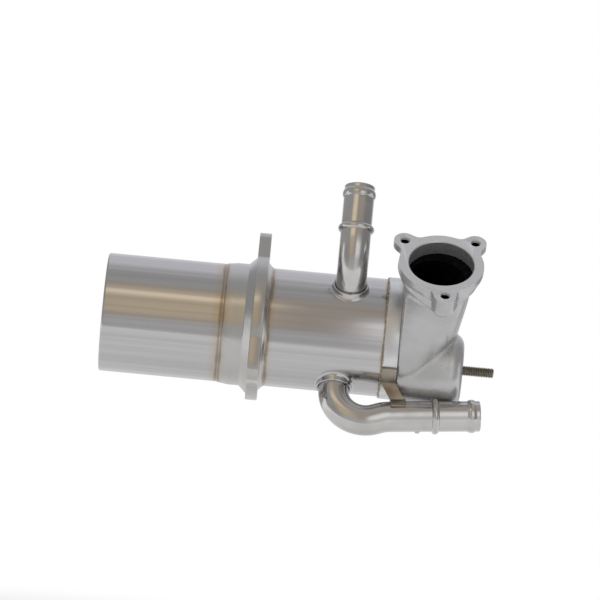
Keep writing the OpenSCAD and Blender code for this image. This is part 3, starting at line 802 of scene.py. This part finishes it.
tab_r = ring_r + bracket_gap
tab_x0 = ring_to - bracket_w
tab_sections = []
for a in np.linspace(tab_from, tab_to, 15):
    out = out_from_axis(a)[0]
    tab_sections.append(section(tab_x0, ring_to, tab_r, lambda x, r: x * ahead + r * out))
saddle_r = pipe_r + bracket_gap
saddle_sections = []
for a in np.linspace(saddle_angle - saddle_half, saddle_angle + saddle_half, 21):
    lead = out_from_axis(a)[0]
    lead = lead - lead.dot(run_axis) * run_axis
    lead = lead / np.linalg.norm(lead)
    saddle_sections.append(section(bracket_gap, bracket_w, saddle_r,
                                   lambda s, r: run_start + s * run_axis + r * lead))
web_out = out_from_axis(tab_to + math.degrees(math.atan(bracket_t / (tab_r + bracket_t / 2))))[0]
web_high = (tab_r + bracket_t / 2) * web_out
lead = out_from_axis(saddle_angle)[0]
web_low = run_start + (saddle_r + bracket_t / 2) * (lead - lead.dot(run_axis) * run_axis)
web_run = np.array((0, *(web_low - web_high)[1:]))
web_half = (bracket_t - 2 * bracket_gap) / 2
web_side = np.cross(ahead, web_run / np.linalg.norm(web_run)) * web_half
web_sections = []
for end, x0, x1 in ((web_high, tab_x0, ring_to), (web_low, web_low[0], web_low[0] + bracket_w)):
    base = np.array((0, *end[1:]))
    corners = ((x0, -1), (x1, -1), (x1, 1), (x0, 1))
    web_sections.append([x * ahead + base + side * web_side for x, side in corners])
bracket = joined("pipe_strap", [
    strap("tab", tab_sections), strap("saddle", saddle_sections), strap("web", web_sections)], 35)

bracket_grey = (0.37, 0.34, 0.295, 1)
bracket_brown = (0.29, 0.25, 0.20, 1)
bracket_steel, tree, shader, place = metal("bracket_steel", bracket_grey, 0.34)
cloud = noise(tree, place, 110.0, 4.0)
tone = mottled(tree, cloud, 0.4, 0.7, bracket_grey, bracket_brown)
web_mid = (web_high[2] + web_low[2]) / 2
dressed(tree, shader, tinted(tree, tone, place, "Z", ((web_mid, 6.0, 5.0),)))
bumped(tree, shader, cloud, 0.04 * MM, 0.4)
bracket.data.materials.append(bracket_steel)
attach(bracket, "root")
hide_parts("pipe_bracket")


# Outlet elbow: a steel casting, shot blasted, that turns the gas from the tubes to the side.
# Its outlet face is machined, with a bore and three tapped ears, and a boss carries a stud.
# A soft form is built up from blended solids, and the machined faces are then cut into it.
joint_x, dome_r, dome_ahead = ring_to, 35.55, 33.0
outlet_x, outlet_angle, face_reach = 107.6, 48.7, 62.3
collar_r, collar_h, socket_r, bore_r, bore_depth = 25.0, 12.0, 22.5, 19.25, 9.0
neck_r, neck_spread, cast_wall, throat_r = 18.5, 3.5, 3.5, 15.0
lug_r, lug_t, lug_at, lug_angles, lug_boss_h = 6.5, 5.5, 28.5, (141.5, 47.5, 276.5), 11.0
chin_drop, chin_side, chin_most, chin_lean, chin_rise = 0.325, 0.3, 11.0, 0.45, 0.4
boss_hang = 3.5
joint_ease, boss_blend, socket_blend, lug_blend, plate_blend, chin_blend = 2.4, 1.1, 4.0, 6.0, 1.4, 1.6
tapped_r = 2.5
boss_axis_r, boss_angle, boss_r, boss_end, boss_ease = 15.55, -63.8, 21.0, 126.5, 8.0
stud_axis_r, stud_angle, stud_in, stud_pad_r = 17.85, -56.0, 10.0, 6.0
cast_step = 0.62
outlet_n, outlet_up = out_from_axis(outlet_angle)
outlet_frame = np.stack([ahead, outlet_up, outlet_n], axis=1)
outlet_origin = outlet_x * ahead
boss_out = out_from_axis(boss_angle)[0] * boss_axis_r
boss_b, boss_c = boss_out.dot(outlet_up), boss_out.dot(outlet_n)
stud_out = out_from_axis(stud_angle)[0] * stud_axis_r
stud_b, stud_c = stud_out.dot(outlet_up), stud_out.dot(outlet_n)
lugs = [(lug_at * math.cos(math.radians(a)), lug_at * math.sin(math.radians(a))) for a in lug_angles]


def soft_min(a, b, k):
    h = np.clip(k - np.abs(a - b), 0.0, None) / k
    return np.minimum(a, b) - h * h * k / 4


def soft_max(a, b, k):
    return -soft_min(-a, -b, k)


def round_cone(a, b, c, from_r, ahead, to_r, spread, top):
    """Distance from the tapered form that runs from the flat dome at the joint to the neck's end."""
    start = np.array((joint_x - outlet_x, 0.0, 0.0))
    rise = np.clip(c / top, 0.0, 1.0)
    a = start[0] + (a - start[0]) * (1 + (from_r / ahead - 1) * (1 - rise * rise * (3 - 2 * rise)))
    run = np.array((0.0, 0.0, top)) - start
    length = np.linalg.norm(run)
    run = run / length
    wide = np.sign(b) * np.clip(np.abs(b) - spread * rise, 0.0, None)
    da, db, dc = a - start[0], wide, c
    along = da * run[0] + dc * run[2]
    off = np.sqrt(np.clip(da ** 2 + db ** 2 + dc ** 2 - along ** 2, 0.0, None))
    lean = (from_r - to_r) / length
    slope = math.sqrt(1 - lean ** 2)
    side = off * slope + along * lean - from_r
    ball_from = np.sqrt(along ** 2 + off ** 2) - from_r
    ball_to = np.sqrt((along - length) ** 2 + off ** 2) - to_r
    place = along * slope - off * lean
    return np.where(place < 0, ball_from, np.where(place > length * slope, ball_to, side))


def corner(first, second, edge):
    """Distance from a form that lies within two distances and has a rounded edge where they meet."""
    outside = np.hypot(np.clip(first, 0, None), np.clip(second, 0, None))
    return np.minimum(np.maximum(first, second), 0.0) + outside - edge


def disc(a, b, c, radius, low, high, edge):
    """Distance from a round disc along the outlet's axis with a rounded edge."""
    beyond = np.abs(c - (low + high) / 2) - (high - low) / 2
    return corner(np.hypot(a, b) - radius + edge, beyond + edge, edge)


def eased_rod(a, b, c, radius, end, ease):
    """Distance from the boss's round rod, whose end at a place along X has a rounded edge."""
    hung = np.clip((b - boss_b) * -outlet_up[2] + (c - boss_c) * -outlet_n[2], 0.0, boss_hang)
    off = np.hypot(b - boss_b + hung * outlet_up[2], c - boss_c + hung * outlet_n[2])
    return corner(off - radius + ease, a - end + ease, ease)


def pear(a, b):
    """Distance in the outlet's plane from the hull round the collar and the lowest ear."""
    tip = np.array(lugs[2])
    length = np.linalg.norm(tip)
    along = (a * tip[0] + b * tip[1]) / length
    across = np.abs(a * tip[1] - b * tip[0]) / length
    lean = (collar_r - lug_r) / length
    slope = math.sqrt(1 - lean ** 2)
    place = along * slope - across * lean
    flank = across * slope + along * lean - collar_r
    return np.where(place < 0, np.hypot(along, across) - collar_r,
                    np.where(place > length * slope, np.hypot(along - length, across) - lug_r, flank))


def casting(a, b, c):
    """Distance from the casting's skin, before it is machined."""
    over = 2.0
    body = round_cone(a, b, c, dome_r, dome_ahead, neck_r, neck_spread, face_reach - collar_h - 4.0)
    body = soft_max(body, joint_x - outlet_x - a, joint_ease)
    boss = eased_rod(a, b, c, boss_r, boss_end - outlet_x, boss_ease)
    boss = np.maximum(boss, joint_x - outlet_x + 0.6 - a)
    form = soft_min(body, boss, boss_blend)
    socket = disc(a, b, c, socket_r, face_reach - collar_h, face_reach + over, 1.2)
    form = soft_min(form, socket, socket_blend)
    round_face = np.hypot(a, b) - collar_r
    flat = round_face
    for la, lb in lugs:
        flat = np.minimum(flat, soft_min(round_face, np.hypot(a - la, b - lb) - lug_r, lug_blend))
    plate = soft_max(flat, np.maximum(face_reach - lug_t - c, c - face_reach - over), plate_blend)
    la, lb = lugs[2]
    chin_depth = soft_min(lug_t - chin_rise - chin_drop * b, chin_most, 3.0)
    chin_from = face_reach - (chin_depth - chin_side * np.clip(a - la, 0.0, None))
    chin_side_at = pear(a, b) + chin_lean * np.clip(c - chin_from, 0.0, None)
    chin = soft_max(chin_side_at, np.maximum(chin_from - c, c - face_reach + 1.0), chin_blend)
    form = soft_min(form, chin, chin_blend)
    pad = disc(a - la, b - lb, c, lug_r, face_reach - lug_boss_h, face_reach + over, 1.0)
    return np.minimum(soft_min(form, plate, 2.0), soft_min(form, pad, chin_blend))


def outlet_place(points):
    """Places in mm of points given in the outlet's own frame."""
    return np.asarray(points, float) @ outlet_frame.T + outlet_origin


def cast_skin(name, form, low, high, step, rounds=5, nudge=0.02, most=0.3):
    """Mesh of a form given by its distance, over a box in the outlet's own frame, in mm."""
    axes = [np.arange(l, h + step, step) for l, h in zip(low, high)]
    grid = form(*np.meshgrid(*axes, indexing="ij"))
    field = openvdb.FloatGrid()
    field.copyFromArray(grid.astype(np.float32))
    points, triangles, quads = field.convertToPolygons(isovalue=0.0, adaptivity=0.0)
    at = np.asarray(points, float) * step + np.array(low)
    sheets = [quads.astype(int), triangles.astype(int)]
    edges = np.concatenate([np.stack([f[:, k], f[:, (k + 1) % f.shape[1]]], axis=1).reshape(-1, 2)
                            for f in sheets for k in range(f.shape[1])])
    edges = np.concatenate([edges, edges[:, ::-1]])
    shared = np.bincount(edges[:, 0], minlength=len(at))[:, None]
    for _ in range(rounds):
        around = np.stack([np.bincount(edges[:, 0], at[edges[:, 1], k], len(at)) for k in range(3)], axis=1)
        at = 0.5 * at + 0.5 * around / shared
        d = form(*at.T)
        slope = np.empty_like(at)
        for k, shift in enumerate(np.eye(3) * nudge):
            slope[:, k] = (form(*(at + shift).T) - form(*(at - shift).T)) / (2 * nudge)
        size = np.clip((slope ** 2).sum(axis=1), 0.25, None)
        at -= np.clip(d / size, -most * step, most * step)[:, None] * slope
    return solid(name, outlet_place(at), sheets[0].tolist() + sheets[1].tolist(), 40)


def outlet_box(name, low, high):
    """Cutter box in the outlet's own frame."""
    corners = [(a, b, c) for a in (low[0], high[0]) for b in (low[1], high[1]) for c in (low[2], high[2])]
    faces = [(0, 1, 3, 2), (4, 6, 7, 5), (0, 4, 5, 1), (2, 3, 7, 6), (0, 2, 6, 4), (1, 5, 7, 3)]
    return solid(name, outlet_place(corners), faces)


def outlet_turned(name, outline, a, b, steps=96, wave=None):
    """Cutter turned round a line along the outlet's axis from (radius, reach) points."""
    turn = np.linspace(0, math.tau, steps, endpoint=False)
    rings = []
    for radius, reach in outline:
        r = radius if wave is None else wave(radius, reach, turn)
        ring = np.stack([a + r * np.cos(turn), b + r * np.sin(turn), np.full(steps, reach)], axis=-1)
        rings.append(outlet_place(ring))
    return capped(name, outlet_place([(a, b, outline[0][1]), (a, b, outline[-1][1])]), rings)


cast_grey = (0.55, 0.548, 0.552, 1)
machined_grey = (0.62, 0.615, 0.63, 1)
cast_steel, tree, shader, place = metal("cast_steel", cast_grey, 0.3)
shader.inputs["Metallic"].default_value = 0.7
blast = noise(tree, place, 1300.0, 3.0)
skin_wave = noise(tree, place, 220.0, 4.0)
cloud = noise(tree, place, 45.0, 3.0)
tone = mottled(tree, cloud, 0.4, 0.66, cast_grey, (0.50, 0.497, 0.495, 1))
tone = blend(tree, between(tree, blast, 0.5, 0.75, 0.0, 0.1), tone, (0.40, 0.395, 0.39, 1))
offset = node(tree, "ShaderNodeVectorMath", {0: place, 1: tuple(outlet_origin * MM)}, operation="SUBTRACT")
lift = node(tree, "ShaderNodeVectorMath", {0: offset.outputs[0], 1: tuple(outlet_n)}, operation="DOT_PRODUCT")
machined = between(tree, lift.outputs["Value"], (face_reach - 0.25) * MM, (face_reach - 0.05) * MM)
rough = between(tree, skin_wave, 0.3, 0.7, 0.26, 0.35)
smooth_face = maths(tree, "MULTIPLY", machined, -0.04)
dressed(tree, shader, blend(tree, machined, tone, machined_grey), maths(tree, "ADD", rough, smooth_face))
pits = maths(tree, "ADD", maths(tree, "MULTIPLY", blast, 0.1), skin_wave)
as_cast = maths(tree, "MULTIPLY", pits, maths(tree, "SUBTRACT", 1.0, machined))
bumped(tree, shader, as_cast, 0.03 * MM, 0.25)

# Painted shade: a near-black material with no gloss, for the shade that falls inside the casting. It goes on
# the walls of the chamber and deep in the bore and tapped holes.
painted_shade_black, tree, shader, place = metal("painted_shade_black", (0.006, 0.006, 0.006, 1), 0.9)
shader.inputs["Metallic"].default_value = 0.0
shader.inputs["Specular IOR Level"].default_value = 0.0
shade_mottle = noise(tree, place, 320.0, 4.0)
dressed(tree, shader, mottled(tree, shade_mottle, 0.4, 0.7, (0.004, 0.004, 0.004, 1), (0.008, 0.008, 0.008, 1)))
bumped(tree, shader, shade_mottle, 0.2 * MM)
elbow = cast_skin("elbow_casting", casting, (-31.0, -38.0, -38.0), (30.0, 38.0, 65.5), cast_step)
elbow.data.materials.append(cast_steel)
faces = outlet_box("face_cut", (-60.0, -60.0, face_reach), (60.0, 60.0, face_reach + 20.0))
faces.data.materials.append(cast_steel)
cut(elbow, faces, 40)


def chamber(a, b, c):
    """Distance from the gas chamber inside the casting."""
    over = 3.0
    throat = face_reach - collar_h - 1.0
    hollow = round_cone(a, b, c, dome_r - cast_wall, dome_ahead - cast_wall, throat_r - 0.2, 0.0, throat)
    boss_hollow = eased_rod(a, b, c, boss_r - cast_wall, boss_end - 2 * cast_wall - outlet_x, boss_ease)
    boss_hollow = np.maximum(boss_hollow, joint_x + 1.0 - outlet_x - a)
    back_wall = joint_x - outlet_x + cast_wall
    hollow = np.maximum(soft_min(hollow, boss_hollow, 2.0), back_wall - a)
    mouth_span = np.maximum(back_wall - cast_wall - over - a, a - back_wall - 1.0)
    mouth = np.maximum(np.hypot(b, c) - dome_r + cast_wall, mouth_span)
    pad_from = boss_end - outlet_x - stud_in - cast_wall
    stud_pad = np.maximum(np.hypot(b - stud_b, c - stud_c) - stud_pad_r, pad_from - a)
    return np.maximum(np.minimum(hollow, mouth), -stud_pad)


# The chamber's walls carry the near-black painted-shade material into the elbow when it is cut.
chamber_form = cast_skin("chamber", chamber, (-26.0, -36.0, -36.0), (32.0, 36.0, 68.0), 1.6)
chamber_form.data.materials.append(painted_shade_black)
cut(elbow, chamber_form, 40)
bore_edge = 0.5
bore_outline = [(throat_r, face_reach - collar_h - 2.0), (throat_r, face_reach - collar_h),
                (bore_r, face_reach - bore_depth), (bore_r, face_reach - bore_edge),
                (bore_r + 2 * bore_edge, face_reach + bore_edge)]
thread_pitch, thread_depth, painted_shade_below = 1.0, 0.3, 2.0


def thread(radius, reach, angle):
    """Radius of a screw thread whose root is given, at a place along and round it."""
    return radius + thread_depth * (0.5 + 0.5 * np.cos(math.tau * (reach / thread_pitch) - angle))


tapped = []
for (la, lb), depth in zip(lugs, (lug_t, lug_t, lug_boss_h)):
    rows = np.arange(face_reach - depth - 1.0, face_reach + 0.8, thread_pitch / 6)
    outline = [(tapped_r + max(0.0, reach - face_reach + 0.5), reach) for reach in rows]
    tapped.append(outlet_turned("tapped_hole", outline, la, lb, 32, thread))
bores = joined("bores", [outlet_turned("bore", bore_outline, 0.0, 0.0), *tapped])
bores.data.materials.append(cast_steel)
bores.data.materials.append(painted_shade_black)
# Painted shade: faces past the bore's depth, and faces deeper than a set depth in the tapped holes, get the
# near-black painted-shade material.
for face in bores.data.polygons:
    centre = np.array(face.center) / MM
    off = centre - outlet_origin
    near_axis = np.linalg.norm(off - off.dot(outlet_n) * outlet_n) < bore_r + 1.0
    painted_shade_from = bore_depth + 0.01 if near_axis else painted_shade_below
    if off.dot(outlet_n) < face_reach - painted_shade_from:
        face.material_index = 1
cut(elbow, bores, 40)

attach(elbow, "root")
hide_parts("outlet_elbow")


# Elbow stud: a rolled steel stud, black oxide gone olive, screwed into the elbow's boss.
# Its thread runs over the whole length that shows, and its end is chamfered.
stud_low, stud_high = (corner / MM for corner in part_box("elbow_stud"))
stud_y, stud_z = (stud_low.y + stud_high.y) / 2, (stud_low.z + stud_high.z) / 2
stud_r, stud_core, stud_steps = 3.0, 2.45, 40
thread_flank, thread_root, thread_crest = 2.2, 0.1, 0.82
stud_turn = np.linspace(0, math.tau, stud_steps, endpoint=False)
stud_rows = []
for x in np.arange(stud_low.x, stud_high.x + 0.01, thread_pitch / 10):
    phase = (x / thread_pitch - stud_turn / math.tau) % 1.0
    ridge = thread_flank * (0.5 - np.abs(phase - 0.5)) - thread_root
    ridge = np.clip(ridge, 0.0, thread_crest) / thread_crest
    radius = stud_core + (stud_r - stud_core) * ridge
    if x < boss_end:
        radius = np.full(stud_steps, stud_core)
    radius = np.minimum(radius, stud_core - 0.25 + (stud_high.x - x))
    stud_rows.append(np.stack([np.full(stud_steps, x), stud_y - radius * np.cos(stud_turn),
                               stud_z + radius * np.sin(stud_turn)], axis=-1))
stud_axis = np.array((0, stud_y, stud_z))
stud_rows += [row * ahead + stud_axis for row in (stud_rows[-1], stud_rows[0])]
stud = skin("elbow_screw", stud_rows, 50)

stud_olive = (0.30, 0.275, 0.225, 1)
stud_steel, tree, shader, place = metal("stud_steel", stud_olive, 0.36)
oxide = noise(tree, place, 350.0, 4.0)
dressed(tree, shader, mottled(tree, oxide, 0.42, 0.66, stud_olive, (0.37, 0.345, 0.29, 1)),
        between(tree, oxide, 0.3, 0.7, 0.28, 0.46))
bumped(tree, shader, oxide, 0.03 * MM, 0.4)
stud.data.materials.append(stud_steel)
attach(stud, "root")
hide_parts("elbow_stud")


# Studio: a pale floor below the part, a white surround, and a soft lamp overhead.
# A folded card round the part, seen only in its reflections, gives the steel its bands.
floor_z = -0.2
floor_half = 4.0
floor_near = 0.3
card_r, card_half = 0.44, 2.5
card_from, card_to = -28, 208


def seen_rays(tree):
    """One for what the camera, gloss and clear pieces see, and nought for other light."""
    path = node(tree, "ShaderNodeLightPath").outputs
    seen = maths(tree, "MAXIMUM", path["Is Camera Ray"], path["Is Glossy Ray"])
    return maths(tree, "MAXIMUM", seen, path["Is Transmission Ray"])


def plain_sheet(name, points, faces):
    """Stage piece from points in metres, with an empty material, and that material's tree."""
    mesh = bpy.data.meshes.new(name)
    mesh.from_pydata(points, [], faces)
    paint = bpy.data.materials.new(name + "_paint")
    paint.use_nodes = True
    paint.node_tree.nodes.clear()
    mesh.materials.append(paint)
    return new_object(name, mesh), paint.node_tree


floor_corners = [(x * floor_half, y * floor_half, floor_z) for x, y in ((-1, -1), (1, -1), (1, 1), (-1, 1))]
floor, tree = plain_sheet("floor", floor_corners, [(0, 1, 2, 3)])
paint = node(tree, "ShaderNodeBsdfDiffuse", {"Color": (0.8, 0.8, 0.8, 1)})
glow = node(tree, "ShaderNodeEmission", {"Color": (1, 1, 1, 1), "Strength": 1.0})
floor_at = node(tree, "ShaderNodeVectorMath", {0: node(tree, "ShaderNodeTexCoord").outputs["Object"],
                                              1: (0.03, 0.0, floor_z)}, operation="SUBTRACT").outputs[0]
floor_far = node(tree, "ShaderNodeVectorMath", {0: floor_at}, operation="LENGTH").outputs["Value"]
pale = between(tree, floor_far, 0.25, 0.6, floor_near, 1.0)
seen = maths(tree, "MULTIPLY", seen_rays(tree), pale)
mixed = node(tree, "ShaderNodeMixShader", {0: seen, 1: paint.outputs[0], 2: glow.outputs[0]})
node(tree, "ShaderNodeOutputMaterial", {"Surface": mixed.outputs[0]})

card_turn = [math.radians(a) for a in range(card_from, card_to + 1, 4)]
card_points = [(x, -card_r * math.cos(a), card_r * math.sin(a))
               for a in card_turn for x in (-card_half, card_half)]
card_faces = [(2 * i, 2 * i + 1, 2 * i + 3, 2 * i + 2) for i in range(len(card_turn) - 1)]
card, tree = plain_sheet("card", card_points, card_faces)
card.visible_camera = False
card.visible_diffuse = False
card.visible_shadow = False
card.visible_transmission = False
at = node(tree, "ShaderNodeSeparateXYZ", {0: node(tree, "ShaderNodeTexCoord").outputs["Object"]}).outputs
angle = maths(tree, "ARCTAN2", at["Z"], maths(tree, "MULTIPLY", at["Y"], -1.0))
behind = maths(tree, "MULTIPLY", maths(tree, "LESS_THAN", angle, -1.0), math.tau)
degrees = maths(tree, "MULTIPLY", maths(tree, "ADD", angle, behind), 180 / math.pi)
everywhere = 1.0
left = between(tree, at["X"], -0.04, 0.06, 1.0, 0.0)
right = between(tree, at["X"], 0.10, 0.14)
# Each board has a colour, the angles from which and to which it stands, a soft edge and a side.
boards = {
    "front board": ((0.55, 0.55, 0.55), -60, 0, 12, everywhere),
    "wall": ((0.45, 0.40, 0.35), 0, 60, 10, everywhere),
    "warm wall": ((0.65, 0.55, 0.40), 0, 55, 10, left),
    "strip lamp": ((1.00, 0.85, 0.65), 37, 47, 3, left),
    "ceiling": ((0.75, 0.75, 0.80), 100, 240, 20, everywhere),
    "side table": ((0.70, 0.70, 0.70), -60, 35, 8, right),
    "side board": ((1.00, 1.00, 1.00), -2, 25, 5, right)}
both = (0.45, 0.45, 0.45, 1)
for colour, low, high, soft, side in boards.values():
    inside = maths(tree, "MULTIPLY", between(tree, degrees, low - soft, low + soft),
                   between(tree, degrees, high - soft, high + soft, 1.0, 0.0))
    both = blend(tree, maths(tree, "MULTIPLY", inside, side), both, (*colour, 1))
both = blend(tree, between(tree, at["X"], 0.25, 0.6), both, (0.30, 0.30, 0.30, 1))
both = blend(tree, between(tree, at["X"], -0.32, -0.14, 1.0, 0.0), both, (0.40, 0.40, 0.40, 1))
light = node(tree, "ShaderNodeEmission", {"Color": both, "Strength": 1.0})
node(tree, "ShaderNodeOutputMaterial", {"Surface": light.outputs[0]})

lamp = bpy.data.objects.new("lamp", bpy.data.lights.new("lamp", "AREA"))
lamp.data.shape = "SQUARE"
lamp.data.size = 1.6
lamp.data.energy = 14
lamp.visible_glossy = False
lamp.location = (-0.3, -0.5, 2.2)
lamp.rotation_euler = (math.radians(-13), math.radians(-8), 0)
bpy.context.scene.collection.objects.link(lamp)

world = bpy.data.worlds.new("surround")
bpy.context.scene.world = world
world.use_nodes = True
tree = world.node_tree
tree.nodes.clear()
soft = node(tree, "ShaderNodeBackground", {"Color": (1, 1, 1, 1), "Strength": 0.75})
white = node(tree, "ShaderNodeBackground", {"Color": (1, 1, 1, 1), "Strength": 1.0})
mixed = node(tree, "ShaderNodeMixShader", {0: seen_rays(tree), 1: soft.outputs[0], 2: white.outputs[0]})
node(tree, "ShaderNodeOutputWorld", {"Surface": mixed.outputs[0]})
bpy.context.scene.view_settings.view_transform = "Standard"
